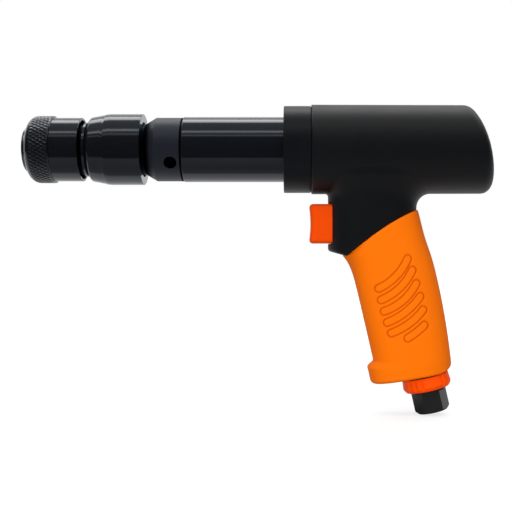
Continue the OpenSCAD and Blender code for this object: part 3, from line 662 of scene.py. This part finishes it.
def matte_black_steel(name, base):
    """Dull blue-black steel, bead-blasted and oiled, with painted shade in the spanner holes, on the
    boss's front beside the chuck's neck and in the seam at the boss's rear.
    """
    material, f = new_finish(name, {"IOR": 1.45, "Specular Tint": BLUED})
    fine = f.noise(2600, 2, 0.6)
    broad = f.noise(70, 3)
    x, y, z = f.parts(f.place())
    # Painted shade: near-black dull metal inside the spanner holes, on the boss's front next to the collar
    # and in the seam against the exhaust tube.
    sunk = f.ramp(SPANNER_HOLE_R * MM - (y * y + z * z) ** 0.5, 0, 0.3 * MM)
    hole_shade = sunk * f.ramp(x, BOSS_FACE_X * MM, (BOSS_FACE_X + 1) * MM)
    recess_shade = f.ramp(x, (COLLAR_X1 + 6.5) * MM, (COLLAR_X1 + 2.5) * MM)
    seam_shade = f.ramp(x, (BOSS_X1 - 0.9) * MM, (BOSS_X1 - 0.5) * MM)
    dark = hole_shade.most(recess_shade).most(seam_shade)
    skin = f.mix(broad * 0.7 + fine * 0.3, colour(*base), colour(*[v * 1.35 for v in base]))
    f.set("Base Color", f.mix(dark, skin, colour(0.001, 0.001, 0.001)))
    f.set("Roughness", 0.44 + broad * 0.1 - f.lathe_lines(1800) * 0.06 + dark * 0.3)
    f.set("Metallic", dark)
    f.bump(fine, 0.35, 0.00003)
    return material


def bright_steel(name, base, rough, lines):
    material, f = new_finish(name, {"Metallic": 1.0})
    ring = f.lathe_lines(lines)
    f.set("Base Color", f.mix(f.noise(120, 3), colour(*base), colour(*[v * 0.86 for v in base])))
    f.set("Roughness", rough + ring * 0.12)
    f.bump(ring, 0.15, 0.00002)
    return material


def grip_rubber(name, base, line):
    """Orange moulding with a dry fine grain, and painted shade in the pressed outlines."""
    material, f = new_finish(name, {"IOR": 1.45, "Specular IOR Level": 0.05, "Sheen Weight": 0.07,
                                    "Sheen Roughness": 0.35, "Sheen Tint": colour(1.0, 0.6, 0.12)})
    fine = f.noise(1900, 2, 0.6)
    broad = f.noise(38, 3)
    pressed = f.node("ShaderNodeAttribute", {"attribute_name": "pressed"}, out="Fac")
    body = f.mix(broad * 0.5 + fine * 0.5, colour(*base), colour(*[v * 0.93 for v in base]))
    # The darker colour in the pressed outlines is painted shade in the grooves.
    f.set("Base Color", f.mix(pressed, body, colour(*line)))
    f.set("Roughness", 0.52 + broad * 0.08 + fine * 0.06 + pressed * 0.1)
    f.bump(fine, 0.35, 0.00004)
    return material


def orange_plastic(name, button, ring):
    """Glossier orange moulding with flow marks, a touch brighter on the ring than on the button: painted
    light that makes up for the grip's shade over the ring.
    """
    material, f = new_finish(name, {"IOR": 1.45, "Specular IOR Level": 0.1})
    flow = f.noise(60, 4, 0.55)
    fine = f.noise(1500, 2)
    height = f.node("ShaderNodeSeparateXYZ", None, {0: f.place()}, "Z")
    # The lower ring gets the brighter orange: painted light against the shade the grip casts on it.
    body = f.mix(f.ramp(height, 2 * BUTTON_LOW_Z * MM, BUTTON_LOW_Z * MM), colour(*ring), colour(*button))
    f.set("Base Color", f.mix(flow * 0.2, body, colour(*[v * 0.5 for v in button])))
    f.set("Roughness", 0.28 + flow * 0.1 + fine * 0.05)
    f.bump(fine, 0.2, 0.00003)
    return material


def seal_rubber(name):
    material, f = new_finish(name, {"IOR": 1.45, "Specular IOR Level": 0.1})
    fine = f.noise(1500, 2)
    f.set("Base Color", f.mix(fine, colour(0.001, 0.001, 0.001), colour(0.003, 0.003, 0.003)))
    f.set("Roughness", 0.6 + fine * 0.15)
    f.bump(fine, 0.3, 0.00003)
    return material


def pressed_felt(name):
    material, f = new_finish(name, {"IOR": 1.4})
    fibre = f.noise(2200, 5, 0.7)
    f.set("Base Color", f.mix(fibre, colour(0.09, 0.09, 0.085), colour(0.2, 0.2, 0.19)))
    f.set("Roughness", 0.9 + fibre * 0.05)
    f.bump(fibre, 0.8, 0.0002)
    return material


FINISHES = {
    "chuck_black": gloss_black("chuck_black", (0.0025, 0.003, 0.004), 0.07, 2400),
    "barrel_black": matte_black_steel("barrel_black", (0.006, 0.0074, 0.0108)),
    "jacket_black": gloss_black("jacket_black", (0.0025, 0.0032, 0.0045), 0.06, 1600),
    "housing_black": soft_touch("housing_black", (0.0022, 0.0026, 0.0034), (0.0042, 0.0048, 0.0058),
                                rough=0.5, grain=2300, depth=0.00005, shine=0.34),
    "cap_black": soft_touch("cap_black", (0.0024, 0.003, 0.0042), (0.0048, 0.0058, 0.0072),
                            rough=0.38, grain=2600, depth=0.00001, shine=0.18),
    "steel": bright_steel("steel", (0.62, 0.63, 0.64), 0.22, 2600),
    "spring_steel": bright_steel("spring_steel", (0.3, 0.31, 0.32), 0.24, 4000),
    "brass": bright_steel("brass", (0.72, 0.55, 0.26), 0.22, 2600),
    "inlet_black": soft_touch("inlet_black", (0.006, 0.006, 0.0065), (0.012, 0.012, 0.013),
                              rough=0.3, grain=1800, depth=0.00003, shine=0.42),
    # grip_orange's second colour is painted shade for the pressed outlines.
    "grip_orange": grip_rubber("grip_orange", (0.825, 0.152, 0.002), (0.48, 0.05, 0.0)),
    # trigger_orange's ring colour is brighter than its button colour: painted light against the grip's
    # shade over the ring.
    "trigger_orange": orange_plastic("trigger_orange", (0.745, 0.0595, 0.0), (1.0, 0.078, 0.0)),
    "seal_rubber": seal_rubber("seal_rubber"),
    "felt": pressed_felt("felt"),
}

for row in frame["record"]["subparts"]:
    for holder in nodes[row["node"]].material_slots:
        holder.material = FINISHES[row["material_slot"]]


# Pieces

def knurled_sleeve():
    """Release sleeve: a rounded shoulder and band cut with crossed spiral grooves, then a smooth skirt."""
    columns = KNURL_STARTS * KNURL_STEPS
    pitch = 2 * math.pi * BAND_R / KNURL_STARTS / math.tan(KNURL_SLANT)
    arc = [(SHOULDER_R + (BAND_R - SHOULDER_R) * math.sin(a), SLEEVE_X0 + SHOULDER_LEN * (1 - math.cos(a)))
           for a in np.linspace(0, math.pi / 2, 200)]
    band = np.array(arc + [(BAND_R, BAND_X1 - 0.4)])
    length = np.concatenate([[0], np.cumsum(np.hypot(*np.diff(band, axis=0).T))])
    s = np.arange(0, length[-1], pitch / KNURL_STEPS)
    band = np.stack([np.interp(s, length, band[:, 0]), np.interp(s, length, band[:, 1])], 1)
    rest = eased([
        [BAND_R, BAND_X1 - 0.3], [BAND_R - 0.45, BAND_X1, 0.1], [SLEEVE_R, BAND_X1 + 0.05, 0.15],
        [SLEEVE_R, SLEEVE_X1, 0.5], [SKIRT_R, SLEEVE_X1, 0.25], [SKIRT_R, REAR_LAND_X],
        [GUIDE_R, REAR_LAND_X], [GUIDE_R, RAMP_X1], [RELIEF_R, RAMP_X0], [RELIEF_R, FRONT_LAND_X],
        [GUIDE_R, FRONT_LAND_X], [GUIDE_R, SLEEVE_X0 + 0.2], [GUIDE_R + 0.2, SLEEVE_X0]], 3)
    outline = np.concatenate([band, rest])
    points, quads = turned(outline, columns)
    grid = points.reshape(len(outline), columns, 3)
    turn = np.arange(columns) / KNURL_STEPS
    run = s[:, None] / pitch
    groove = np.zeros((len(band), columns))
    for way, share in ((1, 1), (-1, KNURL_CROSS)):
        phase = turn[None, :] + way * run
        groove = np.maximum(groove, share * (1 - np.abs(phase - np.round(phase)) * 2 / KNURL_WIDTH))
    fade = blend((s - KNURL_START) / 0.8) * blend((s[-1] - s) / 0.6)
    sink = KNURL_DEPTH * groove * fade[:, None]
    step = np.gradient(band, axis=0)
    normal = np.stack([step[:, 1], -step[:, 0]], 1) / np.hypot(*step.T)[:, None]
    a = 2 * math.pi * np.arange(columns) / columns
    grid[:len(band), :, 0] -= sink * normal[:, 1, None]
    grid[:len(band), :, 1] -= sink * normal[:, 0, None] * np.sin(a)
    grid[:len(band), :, 2] -= sink * normal[:, 0, None] * np.cos(a)
    return grid.reshape(-1, 3), quads[:, ::-1]


def rear_collar():
    return turned(eased([
        [COLLAR_BORE_R, COLLAR_X0], [COLLAR_R - 2.8, COLLAR_X0, 0.3], [COLLAR_R - 2.1, COLLAR_X0 + 1, 0.6],
        [COLLAR_R - 0.62, COLLAR_X0 + 8.8, 1], [COLLAR_R - 0.2, COLLAR_X0 + 10.2, 2],
        [COLLAR_R, COLLAR_X0 + 12.6, 6], [COLLAR_R, COLLAR_X1, 0.35],
        [COLLAR_BORE_R, COLLAR_X1, 0.2]], 4)[::-1])


def jacket():
    return turned(eased([
        [JACKET_R0, JACKET_X0, 0.2], [JACKET_R1, JACKET_X0, 0.4], [JACKET_R1, JACKET_X1, 0.2],
        [JACKET_R0, JACKET_X1, 0.2]], 4)[::-1])


def front_cap():
    return turned(eased([
        [CAP_BORE_R, CAP_X0, 0.3], [CAP_R, CAP_X0, 0.6], [CAP_R, CAP_X1, 0.2], [CAP_SPIGOT_R, CAP_X1],
        [CAP_SPIGOT_R, CAP_SPIGOT_X1], [CAP_INNER_R, CAP_SPIGOT_X1], [CAP_INNER_R, JACKET_X1],
        [CAP_BORE_R, JACKET_X1]], 5)[::-1])


# Pressed outlines on the grip's sides: centre, radius and end angles of each one's middle line
PADS = (
    (204.6, -54.0, 36.4, -64.8, -23.6),
    (206.6, -59.1, 38.0, -66.7, -25.7),
    (211.7, -67.3, 35.6, -70.7, -27.6),
    (208.2, -65.2, 45.9, -68.0, -35.3),
    (211.7, -71.4, 45.8, -69.4, -38.6),
    (210.7, -71.4, 53.3, -59.3, -45.3),
)
PAD_HALF = 2.35
PAD_LINE = 0.68
PAD_DEPTH = 0.4
PAD_EDGE_Y = 8.0
PAD_FADE = 4.0
TOP_GAP = 0.25


def pad_lines(x, z):
    """1 on the middle of a pressed outline, 0 away from it."""
    mark = np.zeros_like(x)
    for cx, cz, r, a0, a1 in PADS:
        angle = np.degrees(np.arctan2(z - cz, x - cx))
        held = np.radians(np.clip(angle, a0, a1))
        gap = np.abs(np.hypot(x - cx - r * np.cos(held), z - cz - r * np.sin(held)) - PAD_HALF)
        mark = np.maximum(mark, 0.5 + 0.5 * np.cos(np.pi * np.clip(gap / PAD_LINE, 0, 1)))
    return mark


def grip_section(z, t, inset, inner):
    front = (plain_front(z) if inner else grip_front(z)) + inset
    rear, half = grip_rear(z) - inset, grip_half(z) - inset
    c, s = np.cos(t), np.sin(t)
    x = (front + rear) / 2 + (rear - front) / 2 * np.sign(c) * np.abs(c) ** (2 / GRIP_POWER)
    return x, half * np.sign(s) * np.abs(s) ** (2 / GRIP_POWER)


def settled(height, z, t, inset, inner):
    """Heights at which the grip's section meets a sloped end."""
    for _ in range(8):
        z = height(grip_section(z, t, inset, inner)[0])
    return z


def grip_moulding():
    columns, rows = 440, 200
    top_ease, foot_ease = 0.7, 1.8
    t = 2 * math.pi * np.arange(columns) / columns
    near_top, near_foot = np.full(columns, -60.0), np.full(columns, -145.0)
    top = settled(split_height, near_top, t, 0, False) - TOP_GAP
    foot = settled(foot_height, near_foot, t, 0, False)
    rings, pressed = [], []

    def ring(z, inset, inner=False):
        x, y = grip_section(z, t, inset, inner)
        rings.append(np.stack([x, y, z], 1))
        pressed.append(np.zeros(columns))

    for i in range(7):
        a = math.pi / 2 * i / 6
        ring(top - top_ease * (1 - math.cos(a)), top_ease * (1 - math.sin(a)))
    for k in range(1, rows):
        z = top - top_ease + (foot + foot_ease - top + top_ease) * k / rows
        x, y = grip_section(z, t, 0, False)
        mark = pad_lines(x, z) * blend((np.abs(y) - PAD_EDGE_Y) / PAD_FADE)
        x, y = grip_section(z, t, PAD_DEPTH * mark, False)
        rings.append(np.stack([x, y, z], 1))
        pressed.append(mark)
    for i in range(9):
        a = math.pi / 2 * i / 8
        ring(foot + foot_ease * (1 - math.sin(a)), foot_ease * (1 - math.cos(a)))
    inner_foot = settled(foot_height, near_foot, t, GRIP_WALL, True)
    inner_top = settled(split_height, near_top, t, GRIP_WALL, True) - TOP_GAP
    for k in range(6):
        ring(inner_foot + (inner_top - inner_foot) * k / 5, GRIP_WALL, True)
    return (np.concatenate(rings), ring_quads(len(rings), columns)[:, ::-1]), np.concatenate(pressed)


def wound_spring(radius, wire, turns, start, length, height):
    """Coil along the barrel's direction with its end turns laid flat."""
    per_turn, sides = 40, 14
    n = turns * per_turn
    k = np.arange(n + 1) / n
    dead = 0.5 / turns
    lift = np.clip((k - dead) / (1 - 2 * dead), 0, 1) * 0.75
    lift = blend((k - dead * 0.3) / (1 - dead * 0.6)) * 0.25 + lift
    a = 2 * math.pi * turns * k
    b = 2 * math.pi * np.arange(sides) / sides
    rr = radius + wire / 2 * np.cos(b)[None, :]
    x = start + wire / 2 + (length - wire) * lift[:, None] + wire / 2 * np.sin(b)[None, :]
    points = np.stack([x, rr * np.cos(a)[:, None], rr * np.sin(a)[:, None] + height], -1).reshape(-1, 3)
    quads = ring_quads(n + 1, sides)[: n * sides]
    caps = []
    for row in (0, n):
        ids = [row * sides + j for j in range(sides)]
        for j in range(1, sides // 2):
            q = [ids[j - 1], ids[j], ids[sides - 1 - j], ids[(sides - j) % sides]]
            caps.append(q if row == 0 else q[::-1])
    return points, np.concatenate([quads[:, ::-1], np.array(caps)[:, ::-1]])


add_piece("housing_shell", carve(housing_shape, (177.5, -31, -150), (294, 31, 30.5), 0.83),
          "tool", FINISHES["housing_black"], ["housing"])
moulding, pressed = grip_moulding()
add_piece("grip_moulding", moulding, "tool", FINISHES["grip_orange"], ["grip_sleeve"],
          {"pressed": pressed})
add_piece("trigger_button", carve(trigger_shape, (176.5, -9.5, -60.5), (196.5, 9.5, -33), 0.35),
          "trigger", FINISHES["trigger_orange"], ["trigger"])
add_piece("deflector_ring", carve(deflector_shape, (232, -16.5, -158), (270, 16.5, -136), 0.3),
          "exhaust_deflector", FINISHES["trigger_orange"], ["exhaust_deflector"])
add_piece("knurled_sleeve", knurled_sleeve(), "release_sleeve", FINISHES["chuck_black"],
          ["release_sleeve"])
add_piece("chuck_collar", rear_collar(), "tool", FINISHES["chuck_black"], ["rear_collar"])
add_piece("exhaust_tube", jacket(), "tool", FINISHES["jacket_black"], ["exhaust_jacket"])
add_piece("barrel_cap", front_cap(), "tool", FINISHES["cap_black"], ["front_cap"])

coil = wound_spring(SLEEVE_COIL_R, SLEEVE_WIRE, 3, REAR_LAND_X + 0.2, SLEEVE_COIL_LEN, 0)
sleeve_coil = add_piece("sleeve_coil", coil, "tool", FINISHES["spring_steel"],
                        ["sleeve_spring"])
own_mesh(sleeve_coil)
coil = wound_spring(THROTTLE_COIL_R, THROTTLE_WIRE, 5, THROTTLE_COIL_X0, THROTTLE_COIL_LEN, THROTTLE_Z)
throttle_coil = add_piece("throttle_coil", coil, "tool", FINISHES["spring_steel"],
                          ["throttle_spring"])
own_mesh(throttle_coil)


# Studio

def pale_floor():
    """Floor under the tool, white to the camera except in the tool's shadow."""
    corners = [(-3, -0.25), (3, -0.25), (3, 5), (-3, 5)]
    mesh = bpy.data.meshes.new("pale_floor")
    mesh.from_pydata([(x, y, FLOOR_Z) for x, y in corners], [], [(0, 1, 2, 3)])
    floor = bpy.data.objects.new("pale_floor", mesh)
    bpy.context.scene.collection.objects.link(floor)
    material, f = new_finish("pale_floor", {"Base Color": colour(0.3, 0.3, 0.3), "Roughness": 0.9,
                                            "Specular IOR Level": 0.0, "Emission Strength": 1.0})
    seen, mirrored = f.rays()
    place = f.place()
    behind = f.ramp(f.node("ShaderNodeSeparateXYZ", None, {0: place}, "Y"), 0.0, 0.03)
    far = f.ramp(f.node("ShaderNodeVectorMath", {"operation": "LENGTH"}, {0: place}, "Value"), 0.3, 0.9)
    # Behind the tool the floor also glows in reflections only: painted light that the glossy parts mirror.
    glow = seen * (0.75 + 0.25 * far) + mirrored * behind * 0.62
    f.set("Emission Color", f.mix(glow, colour(0, 0, 0), colour(1, 1, 1)))
    mesh.materials.append(material)


def studio_world():
    """White to the camera and behind the tool, and a dim room in front of it."""
    world = bpy.data.worlds.new("studio")
    bpy.context.scene.world = world
    f = Finish(world, "Background", {"Strength": 1.0})
    seen, mirrored = f.rays()
    way = f.node("ShaderNodeTexCoord", out="Generated")
    back = f.ramp(f.node("ShaderNodeSeparateXYZ", None, {0: way}, "Y"), 0.15, 0.75)
    up = f.node("ShaderNodeSeparateXYZ", None, {0: way}, "Z")
    ceiling = 0.08 * up.most(0) + 0.34 * f.ramp(up, 0.62, 0.74)
    room = 0.02 + ceiling + back
    light = seen + mirrored * room + (1 - seen - mirrored) * 0.46
    f.set("Color", f.mix(light, colour(0, 0, 0), colour(1, 1, 1)))


def lamp(name, place, aim, width, height, power, gloss=True):
    light = bpy.data.lights.new(name, "AREA")
    light.shape, light.size, light.size_y, light.energy = "RECTANGLE", width, height, power
    holder = bpy.data.objects.new(name, light)
    bpy.context.scene.collection.objects.link(holder)
    holder.location = place
    holder.rotation_euler = (Vector(aim) - Vector(place)).to_track_quat("-Z", "Y").to_euler()
    holder.visible_glossy = gloss


AIM = (0.145, 0.0, -0.03)
FLOOR_Z = -0.1666
pale_floor()
studio_world()
lamp("rear_strip", (0.145, 0.49, 1.1), AIM, 2.4, 0.42, 11)
lamp("front_strip", (0.145, -0.61, 1.03), AIM, 2.4, 0.16, 2.6)
lamp("low_strip", (0.145, -0.86, 0.83), AIM, 2.4, 0.1, 0.6)
lamp("front_fill", (0.06, -0.9, 1.0), AIM, 1.8, 0.7, 6.5, gloss=False)
lamp("low_fill", (0.1, -0.6, -0.13), (0.245, 0, -0.145), 0.9, 0.12, 3.3, gloss=False)

# The photograph's frame is cut off centre, so the lens stands to the right of the middle of the picture
PIXEL = 0.63 * MM
FRAME_PX = 512
LENS_PX = 300
NOSE_PX = 27.0
DISTANCE = 0.6
LENS_Z = -0.06696
SENSOR = 36
photo_lens = bpy.data.cameras.new("photo_camera")
photo_lens.sensor_width = SENSOR
photo_lens.lens = SENSOR * DISTANCE / PIXEL / FRAME_PX
photo_lens.shift_x = (FRAME_PX / 2 - LENS_PX) / FRAME_PX
photo_lens.clip_end = 50
photo_camera = bpy.data.objects.new("photo_camera", photo_lens)
photo_camera.location = ((LENS_PX - NOSE_PX) * PIXEL, -DISTANCE, LENS_Z)
photo_camera.rotation_euler = (math.pi / 2, 0, 0)
bpy.context.scene.collection.objects.link(photo_camera)
bpy.context.scene.camera = photo_camera
bpy.context.scene.view_settings.view_transform = "Standard"

bpy.context.view_layer.update()
